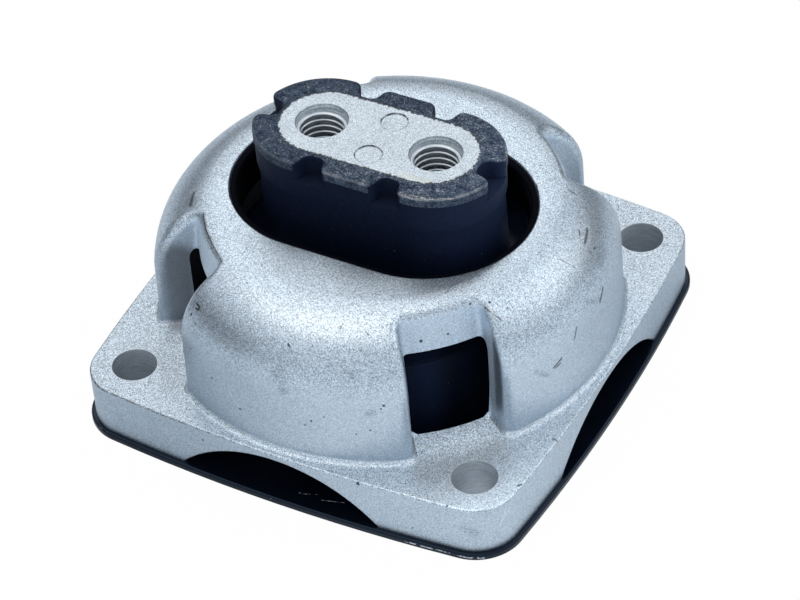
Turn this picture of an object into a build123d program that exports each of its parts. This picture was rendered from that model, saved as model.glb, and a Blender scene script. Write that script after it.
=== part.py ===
from build123d import *
import math
import os

# Engine mount: a cast aluminium cage bolted over a rubber spring that carries a tapped core.
# All sizes in millimetres. The origin is on the underside of the base plate, in the middle of
# the part, with +Z up and +X along the long axis of the core.

# Bolt pattern shared by the cage's flange and the base plate
BOLT_SPACING = 91.0
BOLT_HOLE_D = 11.0

# Base plate
PLATE_THICK = 2.0
PLATE_OVERHANG = 1.2
PLATE_EDGE_ROUND = 0.6
PLATE_WINDOW_D = 44.0

# Flange of the cage: a square with bulged sides, its corners round the bolt holes
FLANGE_CORNER_R = 10.8
FLANGE_BULGE = 2.2
FLANGE_THICK = 13.2
FLANGE_EDGE_ROUND = 0.5
ARCH_R = 35.0
ARCH_METAL = 1.9
ARCH_EDGE_ROUND = 0.5

# Dome of the cage
DOME_LEDGE = 2.3
DOME_HEIGHT = 34.5
DOME_DRAFT_DEG = 1.2
DOME_WALL = 9.0
SHOULDER_R = 18.0
DOME_FOOT_ROUND = 1.4
CAVITY_CORNER_R = 3.6
ROOF_THICK = 11.2

# Mouth of the cage and the rubber liner on its wall
SIDE_TRAVEL = 7.1
END_TRAVEL = 4.6
MOUTH_LIP_R = 0.6
LINER_THICK = 1.8
LINER_END_ROUND = 0.9

# Corner pockets, each narrowing towards the dome's axis
POCKET_COUNT = 4
POCKET_HALF_W = 11.5
POCKET_SIDE_DRAFT_DEG = 8.0
POCKET_BITE = 0.2
POCKET_BACK_DRAFT_DEG = 6.0
POCKET_OUTER_ROUND = 2.4
POCKET_INNER_ROUND = 1.5

# Core: a stadium post with a wide foot and two tapped holes
TAP_SPACING = 30.0
TAP_MAJOR_D = 12.0
TAP_DEPTH = 24.0
TAP_POINT_DEG = 118.0
TAP_SIDE_METAL = 5.3
TAP_END_METAL = 4.3
SINK_D = 12.8
SINK_DEPTH = 1.2
CORE_ABOVE_DOME = 16.5
CORE_FOOT_LEDGE = 4.7
CORE_FOOT_THICK = 7.0
CORE_FOOT_ROUND = 2.0
CORE_NECK_ROUND = 2.5
PIN_MARK_D = 6.5
PIN_MARK_DEPTH = 0.25
PIN_MARK_X = 0.8
PIN_MARK_SPACING = 12.9

# Rubber spring: a sleeve round the post that flares to a thick round body
SLEEVE_END_EXTRA = 1.0
SLEEVE_FOOT_WALL = 4.8
NECK_WALL = 4.3
NECK_DEPTH = 12.2
COLLAR_WALL = 4.9
COLLAR_DEPTH = 9.2
LIP_PROUD = 0.3
LIP_DEPTH = 2.5
LIP_EDGE_ROUND = 0.7
FLARE_R = 6.0
BODY_GAP = 8.0
BODY_EDGE_ROUND = 0.7
CROWN_SLOPE_W = 5.2
CROWN_RISE = 2.6
REBOUND_GAP = 5.9
PAD_THICK = 5.0
SKIRT_THICK = 2.4
SKIRT_GAP = 0.3
SKIRT_FLARE_R = 3.0
HOLLOW_R = 20.0
HOLLOW_DEPTH = 7.0

# Notches in the sleeve's lip, flared outwards
NOTCH_FROM_END = 5.1
NOTCH_IN_W = 4.4
NOTCH_OUT_W = 6.6
NOTCH_DEPTH = 5.2
NOTCH_WALL_LEFT = 0.9
NOTCH_CORNER_R = 1.9
NOTCH_MOUTH_ROUND = 2.2

# How far every cutting shape runs past the faces that it opens
CUT_PAST = 5.0
# How near a point lies to a surface to count as on it
NEAR = 0.02
# Largest share of the room beside an edge that its round may take
ROUND_SHARE = 0.9

# Plan sizes that follow from the sizes above
BOLT_AT = BOLT_SPACING / 2
FLANGE_MID_HALF = BOLT_AT + FLANGE_CORNER_R + FLANGE_BULGE
DOME_BASE_R = FLANGE_MID_HALF - DOME_LEDGE
CAVITY_R = DOME_BASE_R - DOME_WALL
POCKET_FOOT_R = CAVITY_R - POCKET_BITE
BODY_R = CAVITY_R - BODY_GAP
CROWN_R = BODY_R - CROWN_SLOPE_W
SKIRT_R = CAVITY_R - SKIRT_GAP
CORE_HALF_W = TAP_MAJOR_D / 2 + TAP_SIDE_METAL
CORE_HALF_LENGTH = TAP_SPACING / 2 + TAP_MAJOR_D / 2 + TAP_END_METAL
CORE_STRAIGHT = 2 * (CORE_HALF_LENGTH - CORE_HALF_W)
CORE_FOOT_R = CORE_HALF_LENGTH + CORE_FOOT_LEDGE
SLEEVE_STRAIGHT = CORE_STRAIGHT + 2 * SLEEVE_END_EXTRA
NOTCH_X = SLEEVE_STRAIGHT / 2 - NOTCH_FROM_END
COLLAR_HALF_W = CORE_HALF_W + COLLAR_WALL
LIP_HALF_W = COLLAR_HALF_W + LIP_PROUD
MOUTH_HALF_W = LIP_HALF_W + SIDE_TRAVEL + LINER_THICK
MOUTH_HALF_LENGTH = SLEEVE_STRAIGHT / 2 + LIP_HALF_W + END_TRAVEL + LINER_THICK
MOUTH_STRAIGHT = 2 * (MOUTH_HALF_LENGTH - MOUTH_HALF_W)

# Heights that follow from the sizes above
FLANGE_TOP = PLATE_THICK + FLANGE_THICK
ARCH_CENTRE_Z = FLANGE_TOP - ARCH_METAL - ARCH_R
DOME_TOP = FLANGE_TOP + DOME_HEIGHT
ROOF_BOTTOM = DOME_TOP - ROOF_THICK
CROWN_TOP = ROOF_BOTTOM - REBOUND_GAP
BODY_TOP = CROWN_TOP - CROWN_RISE
SKIRT_TOP = PLATE_THICK + SKIRT_THICK
CORE_TOP = DOME_TOP + CORE_ABOVE_DOME
CORE_FOOT_BOTTOM = PLATE_THICK + HOLLOW_DEPTH + PAD_THICK
CORE_FOOT_TOP = CORE_FOOT_BOTTOM + CORE_FOOT_THICK


def limited(radius, room):
    """A round's radius, kept under the room beside its edge."""
    return min(radius, ROUND_SHARE * room)


def reach(point):
    """Distance of a point from the part's upright axis."""
    return math.hypot(point.X, point.Y)


def points_on(edge):
    """Three points spread along an edge."""
    return [edge @ share for share in (0.1, 0.5, 0.9)]


def is_level_at(edge, z):
    """True for an edge that lies flat at height z."""
    return all(abs(point.Z - z) < NEAR for point in points_on(edge))


def on_ring(edge, radius, z):
    """True for a level circle of this radius about the axis at height z."""
    return is_level_at(edge, z) and all(abs(reach(p) - radius) < NEAR for p in points_on(edge))


def stadium(straight, half_w):
    """Flat stadium face with its long axis on X."""
    return SlotCenterToCenter(straight, 2 * half_w)


def bolt_places():
    """The four bolt centres."""
    return [(sx * BOLT_AT, sy * BOLT_AT) for sx in (-1, 1) for sy in (-1, 1)]


def flange_outline(grow):
    """Closed outline of the bulged square, moved out by grow."""
    mid = FLANGE_MID_HALF + grow
    corner_r = FLANGE_CORNER_R + grow
    side_r = (BOLT_AT**2 + (BOLT_AT - mid) ** 2 - corner_r**2) / (2 * (mid - BOLT_AT - corner_r))
    side_centre = mid - side_r
    apart = math.hypot(BOLT_AT, BOLT_AT - side_centre)
    tx = BOLT_AT * side_r / apart
    ty = side_centre + (BOLT_AT - side_centre) * side_r / apart
    diag = BOLT_AT + corner_r / math.sqrt(2)
    side = ThreePointArc((-tx, ty), (0, mid), (tx, ty))
    corner = ThreePointArc((tx, ty), (diag, diag), (ty, tx))
    edges = [piece.rotate(Axis.Z, 90 * turn) for turn in range(4) for piece in (side, corner)]
    return Wire(edges)


def flange_slab(bottom, thick, grow):
    """The bulged square as a slab."""
    return extrude(Pos(0, 0, bottom) * make_face(flange_outline(grow)), thick)


def bolt_drills():
    """Four cylinders through the flange and the plate."""
    tall = FLANGE_TOP + 2 * CUT_PAST
    drill = Pos(0, 0, FLANGE_TOP / 2) * Cylinder(BOLT_HOLE_D / 2, tall)
    return [Pos(x, y, 0) * drill for x, y in bolt_places()]


def dome_profile():
    """Half section of the dome's outside, from its axis to its drafted wall."""
    draft = math.radians(DOME_DRAFT_DEG)
    centre_z = DOME_TOP - SHOULDER_R
    wall_x = DOME_BASE_R - (centre_z + SHOULDER_R * math.sin(draft) - FLANGE_TOP) * math.tan(draft)
    wall_z = centre_z + SHOULDER_R * math.sin(draft)
    centre_x = wall_x - SHOULDER_R * math.cos(draft)
    half = math.radians(45) + draft / 2
    mid = (centre_x + SHOULDER_R * math.cos(half), centre_z + SHOULDER_R * math.sin(half))
    root_z = FLANGE_TOP - FLANGE_THICK / 2
    root = Polyline((0, DOME_TOP), (0, root_z), (DOME_BASE_R, root_z), (DOME_BASE_R, FLANGE_TOP))
    wall = Line((DOME_BASE_R, FLANGE_TOP), (wall_x, wall_z))
    shoulder = ThreePointArc((wall_x, wall_z), mid, (centre_x, DOME_TOP))
    roof = Line((centre_x, DOME_TOP), (0, DOME_TOP))
    return Plane.XZ * make_face(Wire([*root.edges(), wall, shoulder, roof]))


def pocket_back_radius(z):
    """Radius of the drafted back wall of a pocket at height z."""
    return POCKET_FOOT_R - (z - FLANGE_TOP) * math.tan(math.radians(POCKET_BACK_DRAFT_DEG))


def pocket_half_width(x):
    """Half width of a pocket at the distance x from the dome's axis, along the pocket's middle."""
    return POCKET_HALF_W + (x - DOME_BASE_R) * math.tan(math.radians(POCKET_SIDE_DRAFT_DEG))


def pocket_inner_corner(back_r):
    """Where a side wall meets the back wall of this radius: the line of pocket_half_width on a circle."""
    slope = math.tan(math.radians(POCKET_SIDE_DRAFT_DEG))
    offset = pocket_half_width(0)
    x = (math.sqrt(back_r**2 * (1 + slope**2) - offset**2) - slope * offset) / (1 + slope**2)
    return x, pocket_half_width(x)


def pocket_section(z):
    """Plan of the +X pocket at height z: narrower inwards, its back wall on a circle, corners rounded."""
    back_r = pocket_back_radius(z)
    in_x, in_y = pocket_inner_corner(back_r)
    out_x = DOME_BASE_R + CUT_PAST
    out_y = pocket_half_width(out_x)
    back = ThreePointArc((in_x, -in_y), (back_r, 0), (in_x, in_y))
    rim = Polyline((in_x, in_y), (out_x, out_y), (out_x, -out_y), (in_x, -in_y))
    face = make_face(Wire([back, *rim.edges()]))
    inner_corners = face.vertices().sort_by(Axis.X)[:2]
    return Pos(0, 0, z) * fillet(inner_corners, POCKET_INNER_ROUND)


def pocket_cutter():
    """Wedge that cuts the +X pocket from the flange's top up through the shoulder."""
    return loft([pocket_section(FLANGE_TOP), pocket_section(DOME_TOP + CUT_PAST)])


def pocket_turns():
    """Angles of the pockets about the dome's axis."""
    return [45 + 360 / POCKET_COUNT * step for step in range(POCKET_COUNT)]


def dome_shell():
    """Outside of the dome, cut by its pockets and rounded along their rims."""
    dome = revolve(dome_profile(), Axis.Z)
    cutter = pocket_cutter()
    dome -= [Rot(0, 0, turn) * cutter for turn in pocket_turns()]
    rims = [e for e in dome.edges() if is_pocket_rim(e)]
    return fillet(rims, POCKET_OUTER_ROUND)


def is_on_pocket_side(point):
    """True for a point on a side wall of any pocket."""
    for turn in pocket_turns():
        angle = math.radians(turn)
        along = point.X * math.cos(angle) + point.Y * math.sin(angle)
        aside = point.Y * math.cos(angle) - point.X * math.sin(angle)
        if along > 0 and abs(abs(aside) - pocket_half_width(along)) < NEAR:
            return True
    return False


def is_pocket_rim(edge):
    """True for the edges where a pocket's side wall runs out through the dome's wall and shoulder."""
    points = points_on(edge)
    on_corner = any(reach(p) < pocket_back_radius(p.Z) + POCKET_INNER_ROUND for p in points)
    if is_level_at(edge, FLANGE_TOP) or on_corner:
        return False
    return all(is_on_pocket_side(p) for p in points)


def hollow_body():
    """Flange and dome over the chamber, with a cast fillet along the foot that ends at the windows."""
    flange = flange_slab(PLATE_THICK, FLANGE_THICK, 0)
    flange = fillet(flange.edges().group_by(Axis.Z)[-1], FLANGE_EDGE_ROUND)
    body = flange + dome_shell() - cavity()
    foot = [e for e in body.edges() if is_dome_foot(e)]
    return fillet(foot, DOME_FOOT_ROUND)


def is_dome_foot(edge):
    """True for the edges where the dome's outer wall stands on the flange."""
    return on_ring(edge, DOME_BASE_R, FLANGE_TOP)


def cavity():
    """Round chamber inside the cage, open at the bottom."""
    room = Pos(0, 0, ROOF_BOTTOM / 2) * Cylinder(CAVITY_R, ROOF_BOTTOM)
    return fillet(room.edges().group_by(Axis.Z)[-1], CAVITY_CORNER_R)


def arch_cutters():
    """Two round-topped tunnels that open the flange's four sides."""
    length = 2 * (FLANGE_MID_HALF + CUT_PAST)
    tunnel = Pos(0, 0, ARCH_CENTRE_Z) * Rot(90, 0, 0) * Cylinder(ARCH_R, length)
    return [tunnel, Rot(0, 0, 90) * tunnel]


def is_arch_rim(edge):
    """True for the curved edges where a tunnel comes out through the flange's side."""
    points = points_on(edge)
    if edge.geom_type == GeomType.LINE or min(reach(p) for p in points) < DOME_BASE_R:
        return False
    along_y = all(abs(math.hypot(p.X, p.Z - ARCH_CENTRE_Z) - ARCH_R) < NEAR for p in points)
    along_x = all(abs(math.hypot(p.Y, p.Z - ARCH_CENTRE_Z) - ARCH_R) < NEAR for p in points)
    return along_x or along_y


def make_housing():
    """Cast cage: flange, dome, mouth, pockets and arches in one solid."""
    cage = hollow_body() - arch_cutters()
    cage = fillet([e for e in cage.edges() if is_arch_rim(e)], ARCH_EDGE_ROUND)
    mouth_floor = ROOF_BOTTOM - CUT_PAST
    mouth = extrude(stadium(MOUTH_STRAIGHT, MOUTH_HALF_W), DOME_TOP + CUT_PAST - mouth_floor)
    cage -= Pos(0, 0, mouth_floor) * mouth
    cage = fillet([e for e in cage.edges() if is_mouth_lip(e)], MOUTH_LIP_R)
    return cage - bolt_drills()


def stadium_distance(point):
    """Distance of a point from the middle line of the mouth's stadium."""
    return math.hypot(max(abs(point.X) - MOUTH_STRAIGHT / 2, 0), point.Y)


def is_mouth_lip(edge):
    """True for the upper edges of the mouth."""
    on_wall = all(abs(stadium_distance(p) - MOUTH_HALF_W) < NEAR for p in points_on(edge))
    return on_wall and (edge @ 0.5).Z > DOME_TOP - MOUTH_LIP_R


def make_mouth_liner():
    """Rubber sleeve on the mouth's wall, from the roof's underside to the foot of the lip."""
    ring = stadium(MOUTH_STRAIGHT, MOUTH_HALF_W) - stadium(MOUTH_STRAIGHT, MOUTH_HALF_W - LINER_THICK)
    sleeve = extrude(Pos(0, 0, ROOF_BOTTOM) * ring, ROOF_THICK - MOUTH_LIP_R)
    level = sleeve.edges().filter_by(Axis.Z, reverse=True)
    inner = [e for e in level if stadium_distance(e @ 0.5) < MOUTH_HALF_W - LINER_THICK / 2]
    return fillet(inner, limited(LINER_END_ROUND, LINER_THICK))


def make_base_plate():
    """Pressed plate under the flange, with a rounded edge and a middle opening."""
    plate = flange_slab(0, PLATE_THICK, PLATE_OVERHANG)
    rims = plate.edges().filter_by(Axis.Z, reverse=True)
    plate = fillet(rims, limited(PLATE_EDGE_ROUND, PLATE_THICK / 2))
    window = Pos(0, 0, PLATE_THICK / 2) * Cylinder(PLATE_WINDOW_D / 2, PLATE_THICK + 2 * CUT_PAST)
    return plate - bolt_drills() - window


def core_blank():
    """Post and foot of the core, without its holes."""
    post_tall = CORE_TOP - CORE_FOOT_BOTTOM
    post = extrude(Pos(0, 0, CORE_FOOT_BOTTOM) * stadium(CORE_STRAIGHT, CORE_HALF_W), post_tall)
    foot = Pos(0, 0, CORE_FOOT_BOTTOM + CORE_FOOT_THICK / 2) * Cylinder(CORE_FOOT_R, CORE_FOOT_THICK)
    rims = foot.edges().filter_by(GeomType.CIRCLE)
    foot = fillet(rims, limited(CORE_FOOT_ROUND, CORE_FOOT_THICK / 2))
    blank = post + foot
    neck = [e for e in blank.edges() if is_core_neck(e)]
    return fillet(neck, limited(CORE_NECK_ROUND, CORE_FOOT_LEDGE - CORE_FOOT_ROUND))


def is_core_neck(edge):
    """True for the edges where the post stands on its foot."""
    far = max(reach(p) for p in points_on(edge))
    return is_level_at(edge, CORE_FOOT_TOP) and far < CORE_HALF_LENGTH + NEAR


def tap_hole():
    """Blind tapped hole at the thread's outside diameter, with its drill point and countersink."""
    r = TAP_MAJOR_D / 2
    point = r / math.tan(math.radians(TAP_POINT_DEG / 2))
    outline = Polyline(
        (0, CORE_TOP + CUT_PAST),
        (SINK_D / 2, CORE_TOP + CUT_PAST),
        (SINK_D / 2, CORE_TOP),
        (r, CORE_TOP - SINK_DEPTH),
        (r, CORE_TOP - TAP_DEPTH),
        (0, CORE_TOP - TAP_DEPTH - point),
        close=True,
    )
    return revolve(Plane.XZ * make_face(outline), Axis.Z)


def make_core():
    """Core with its tapped holes and the two round ejector marks in its top face."""
    hole = tap_hole()
    holes = [Pos(side * TAP_SPACING / 2, 0, 0) * hole for side in (-1, 1)]
    mark = Pos(PIN_MARK_X, 0, CORE_TOP) * Cylinder(PIN_MARK_D / 2, 2 * PIN_MARK_DEPTH)
    marks = [Pos(0, side * PIN_MARK_SPACING / 2, 0) * mark for side in (-1, 1)]
    return core_blank() - holes - marks


def body_profile():
    """Half section of the round rubber body with its crown and its skirt on the plate."""
    line = Polyline(
        (0, CROWN_TOP),
        (0, PLATE_THICK),
        (SKIRT_R, PLATE_THICK),
        (SKIRT_R, SKIRT_TOP),
        (BODY_R, SKIRT_TOP),
        (BODY_R, BODY_TOP),
        (CROWN_R, CROWN_TOP),
        close=True,
    )
    return Plane.XZ * make_face(line)


def rubber_body():
    """The thick round body with rounded skirt root and crown edge."""
    body = revolve(body_profile(), Axis.Z)
    root = [e for e in body.edges() if on_ring(e, BODY_R, SKIRT_TOP)]
    body = fillet(root, SKIRT_FLARE_R)
    crease = [e for e in body.edges() if on_ring(e, BODY_R, BODY_TOP)]
    return fillet(crease, BODY_EDGE_ROUND)


def sleeve_profile():
    """Half section of the sleeve up to the notches' floor: foot, narrow neck and collar."""
    line = Polyline(
        (0, CORE_TOP - NOTCH_DEPTH),
        (0, PLATE_THICK),
        (CORE_HALF_W + SLEEVE_FOOT_WALL, PLATE_THICK),
        (CORE_HALF_W + SLEEVE_FOOT_WALL, CROWN_TOP),
        (CORE_HALF_W + NECK_WALL, CORE_TOP - NECK_DEPTH),
        (COLLAR_HALF_W, CORE_TOP - COLLAR_DEPTH),
        (COLLAR_HALF_W, CORE_TOP - NOTCH_DEPTH),
        close=True,
    )
    return make_face(line)


def rubber_sleeve():
    """Sleeve round the post: its section turned at both ends and run straight between them."""
    half = sleeve_profile()
    turned = revolve(Plane.XZ * half, Axis.Z)
    across = Plane.YZ.offset(-SLEEVE_STRAIGHT / 2) * (half + mirror(half, Plane.YZ))
    middle = extrude(across, SLEEVE_STRAIGHT)
    ends = [Pos(side * SLEEVE_STRAIGHT / 2, 0, 0) * turned for side in (-1, 1)]
    return middle + ends


def notch_plan():
    """Plan of the notch on the +Y side, flared outwards past the lip."""
    inner = CORE_HALF_W + NOTCH_WALL_LEFT
    outer = LIP_HALF_W + CUT_PAST
    spread = (NOTCH_OUT_W - NOTCH_IN_W) / (LIP_HALF_W - inner)
    out_w = NOTCH_IN_W + spread * (outer - inner)
    outline = Polyline(
        (-NOTCH_IN_W / 2, inner),
        (NOTCH_IN_W / 2, inner),
        (out_w / 2, outer),
        (-out_w / 2, outer),
        close=True,
    )
    return make_face(outline)


def notch_plans():
    """Six notches: two on each long side and one at each end of the lip."""
    notch = notch_plan()
    sides = [Rot(0, 0, turn) * Pos(x, 0, 0) * notch for turn in (0, 180) for x in (-NOTCH_X, NOTCH_X)]
    ends = [Rot(0, 0, turn) * Pos(0, CORE_STRAIGHT / 2, 0) * notch for turn in (90, -90)]
    return sides + ends


def sleeve_distance(point):
    """Distance of a point from the middle line of the sleeve's stadium."""
    return math.hypot(max(abs(point.X) - SLEEVE_STRAIGHT / 2, 0), point.Y)


def notch_mouth_round():
    """Radius of the lobes' outer corners, kept on the straight stretch beside the notch."""
    flare = math.atan((NOTCH_OUT_W - NOTCH_IN_W) / 2 / (LIP_HALF_W - CORE_HALF_W - NOTCH_WALL_LEFT))
    run_per_radius = math.tan((math.pi / 2 - flare) / 2)
    return limited(NOTCH_MOUTH_ROUND, (NOTCH_FROM_END - NOTCH_OUT_W / 2) / run_per_radius)


def lobes(half_w, bottom, tall):
    """Slab of the lip at this half width, parted by the notches into six round-cornered lobes."""
    plan = stadium(SLEEVE_STRAIGHT, half_w)
    seams = [corner.center() for corner in plan.vertices()]
    slab = extrude(Pos(0, 0, bottom) * (plan - notch_plans()), tall)
    corners = [e for e in slab.edges().filter_by(Axis.Z) if not is_over(e, seams)]
    rim = [e for e in corners if sleeve_distance(e @ 0.5) > half_w - NEAR]
    slab = fillet(rim, notch_mouth_round())
    notch_end = CORE_HALF_W + NOTCH_WALL_LEFT + NEAR
    inner = [e for e in slab.edges().filter_by(Axis.Z) if sleeve_distance(e @ 0.5) < notch_end]
    return fillet(inner, limited(NOTCH_CORNER_R, NOTCH_IN_W / 2))


def is_over(edge, places):
    """True for an upright edge that stands on one of these places."""
    foot = edge @ 0.5
    return any(math.hypot(foot.X - place.X, foot.Y - place.Y) < NEAR for place in places)


def lip():
    """Upper end of the sleeve above the notches' floor: six lobes with a slightly proud, rounded rim."""
    collar = lobes(COLLAR_HALF_W, CORE_TOP - NOTCH_DEPTH, NOTCH_DEPTH - LIP_DEPTH)
    band = lobes(LIP_HALF_W, CORE_TOP - LIP_DEPTH, LIP_DEPTH)
    band = fillet(band.edges().group_by(Axis.Z)[-1], LIP_EDGE_ROUND)
    return collar + band


def hollow_ball():
    """Ball that cuts the shallow round hollow in the underside."""
    ball_r = (HOLLOW_R**2 + HOLLOW_DEPTH**2) / (2 * HOLLOW_DEPTH)
    return Pos(0, 0, PLATE_THICK + HOLLOW_DEPTH - ball_r) * Sphere(ball_r)


def is_flare(edge):
    """True for the edges where the sleeve stands on the body's crown."""
    far = max(reach(p) for p in points_on(edge))
    return is_level_at(edge, CROWN_TOP) and far < CROWN_R - NEAR


def make_rubber_spring():
    """Rubber moulded round the core: sleeve, flare, body, skirt and the hollow underneath."""
    rubber = rubber_body() + rubber_sleeve()
    flare = [e for e in rubber.edges() if is_flare(e)]
    rubber = fillet(flare, FLARE_R)
    return rubber + lip() - hollow_ball() - core_blank()


def main():
    """Build every piece and write it to its own file."""
    os.makedirs("parts", exist_ok=True)
    pieces = {
        "housing": make_housing(),
        "mouth_liner": make_mouth_liner(),
        "core": make_core(),
        "rubber_spring": make_rubber_spring(),
        "base_plate": make_base_plate(),
    }
    for name, piece in pieces.items():
        export_step(piece.solid(), f"parts/{name}.step")
        print(name, round(piece.volume, 1), piece.bounding_box())


main()
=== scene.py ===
import logging
import math
from dataclasses import dataclass, field
from enum import Enum

import bmesh
import bpy
import numpy as np
from mathutils import Matrix, Vector


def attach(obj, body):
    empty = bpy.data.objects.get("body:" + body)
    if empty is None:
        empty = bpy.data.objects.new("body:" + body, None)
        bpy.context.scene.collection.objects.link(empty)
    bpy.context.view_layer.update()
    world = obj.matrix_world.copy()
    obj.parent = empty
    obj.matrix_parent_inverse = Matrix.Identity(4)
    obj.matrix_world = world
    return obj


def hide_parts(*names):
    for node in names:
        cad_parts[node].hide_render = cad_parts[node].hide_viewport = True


# Looks of the engine mount: a blasted aluminium cage on a black coated plate, with a rubber
# spring round a tapped core. Sizes are in metres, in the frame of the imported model, and those
# of marks are in millimetres.

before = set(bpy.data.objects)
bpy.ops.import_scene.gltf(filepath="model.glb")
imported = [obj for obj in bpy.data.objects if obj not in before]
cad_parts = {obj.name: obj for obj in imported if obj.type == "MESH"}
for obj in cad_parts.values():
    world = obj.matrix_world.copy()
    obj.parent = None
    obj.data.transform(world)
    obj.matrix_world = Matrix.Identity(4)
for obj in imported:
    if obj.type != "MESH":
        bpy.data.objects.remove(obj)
log = logging.getLogger("engine_mount")

MM = 0.001
BODY = "root"
Colour = tuple[float, float, float]
Point = tuple[float, float, float]
Span = tuple[float, float]
WHITE: Colour = (1.0, 1.0, 1.0)


def span(low: float, high: float, base: float = 0.0) -> Span:
    """Where a smooth step starts and ends, in millimetres from a base in metres."""
    return base + low * MM, base + high * MM


# Plan of the stadium-shaped core and sleeve
CORE_HALF_STRAIGHT = 14.0 * MM
CORE_HALF_W = 11.3 * MM
SLEEVE_HALF_STRAIGHT = 15.0 * MM
LIP_HALF_W = 16.5 * MM

# Heights
CORE_TOP = 66.2 * MM
LIP_BOTTOM = CORE_TOP - 2.5 * MM
DOME_TOP = 49.7 * MM
FLANGE_TOP = 15.2 * MM

# Bolt holes in the flange
BOLT_AT = 45.5 * MM
BOLT_HOLE_R = 5.5 * MM

# Share of its width over which a speck, a spot or a stroke is solid
SPECK_CORE = 0.5
SPOT_CORE = 0.45
STROKE_CORE = 0.3

# Meshes: vertices this near are merged, and faces count this much in the weighted normals
MERGE_DISTANCE = 0.001 * MM
FACE_WEIGHT = 100


class Slot(Enum):
    """Names of the material slots."""

    CAST = "cast_aluminium"
    CORE = "core_aluminium"
    SPRING = "spring_rubber"
    LINER = "liner_rubber"
    PLATE = "coated_steel"


class Wire:
    """An output socket in a material, so that sums on it can be written as plain Python."""

    def __init__(self, graph: "Graph", socket: bpy.types.NodeSocket) -> None:
        """Keep the socket and the graph that it belongs to."""
        self.graph = graph
        self.socket = socket

    def __add__(self, other: "Wire | float") -> "Wire":
        """This plus other."""
        return self.graph.math("ADD", self, other)

    __radd__ = __add__

    def __mul__(self, other: "Wire | float") -> "Wire":
        """This times other."""
        return self.graph.math("MULTIPLY", self, other)

    __rmul__ = __mul__

    def __sub__(self, other: "Wire | float") -> "Wire":
        """This minus other."""
        return self.graph.math("SUBTRACT", self, other)

    def __rsub__(self, other: float) -> "Wire":
        """Other minus this."""
        return self.graph.math("SUBTRACT", other, self)

    def __abs__(self) -> "Wire":
        """This without its sign."""
        return self.graph.math("ABSOLUTE", self)


@dataclass(frozen=True)
class Mark:
    """A blemish, in millimetres: a ragged spot, or a stroke where it has an end."""

    start: Point
    width: float
    end: Point | None = None


def marks(*rows: tuple[float, ...]) -> tuple[Mark, ...]:
    """Marks from rows of a start, a width and, for a stroke, an end."""
    return tuple(Mark(row[:3], row[3], row[4:] or None) for row in rows)


@dataclass(frozen=True)
class Noise:
    """A smooth noise from 0 to 1, with scale features to a metre and detail finer octaves.

    A factor over 1 in stretch thins the features along that axis.
    """

    scale: float
    detail: float = 2.0
    roughness: float = 0.5
    stretch: Point | None = None


@dataclass(frozen=True)
class Specks:
    """Round specks of one radius at random places, one in each cell, with scale cells to a metre."""

    scale: float
    radius: float


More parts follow.
